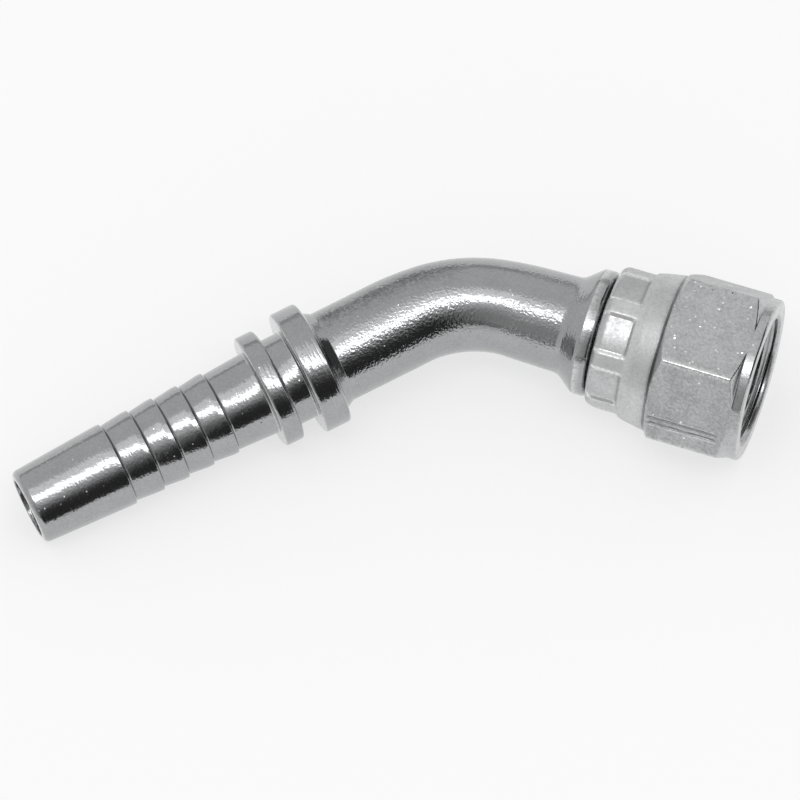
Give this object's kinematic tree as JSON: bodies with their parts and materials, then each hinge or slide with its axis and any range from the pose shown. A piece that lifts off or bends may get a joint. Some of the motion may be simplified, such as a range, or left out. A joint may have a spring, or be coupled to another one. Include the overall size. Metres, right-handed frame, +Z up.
{
  "type": "swage hose fitting",
  "caption": "Swept elbow hose fitting: barbed hose tail with a lock groove between collars, bent tube and a crimped-on hexagonal swivel nut, in bright zinc-plated steel.",
  "frame": {"origin": "centre of the end of the stem's cone nose, inside the nut, on the axis that the nut turns about", "axes": "+X along the nut's axis and out of its mouth, +Z up from the ground that the fitting lies on, 13.5 mm below the origin; the tail leaves towards -X and -Y"},
  "size_m": [0.1116, 0.0752, 0.027],
  "materials": {
    "stem_zinc": "turned steel with a bright zinc plate",
    "nut_zinc": "drawn and turned steel with a bright, slightly matt zinc plate"
  },
  "bodies": {
    "stem": {"hose_stem": "stem_zinc"},
    "nut": {"swivel_nut": "nut_zinc"}
  },
  "joints": [
    {"name": "nut_swivel", "type": "hinge", "parent": "stem", "child": "nut", "pos_m": [0, 0, 0], "axis": [1, 0, 0], "continuous": true}
  ]
}
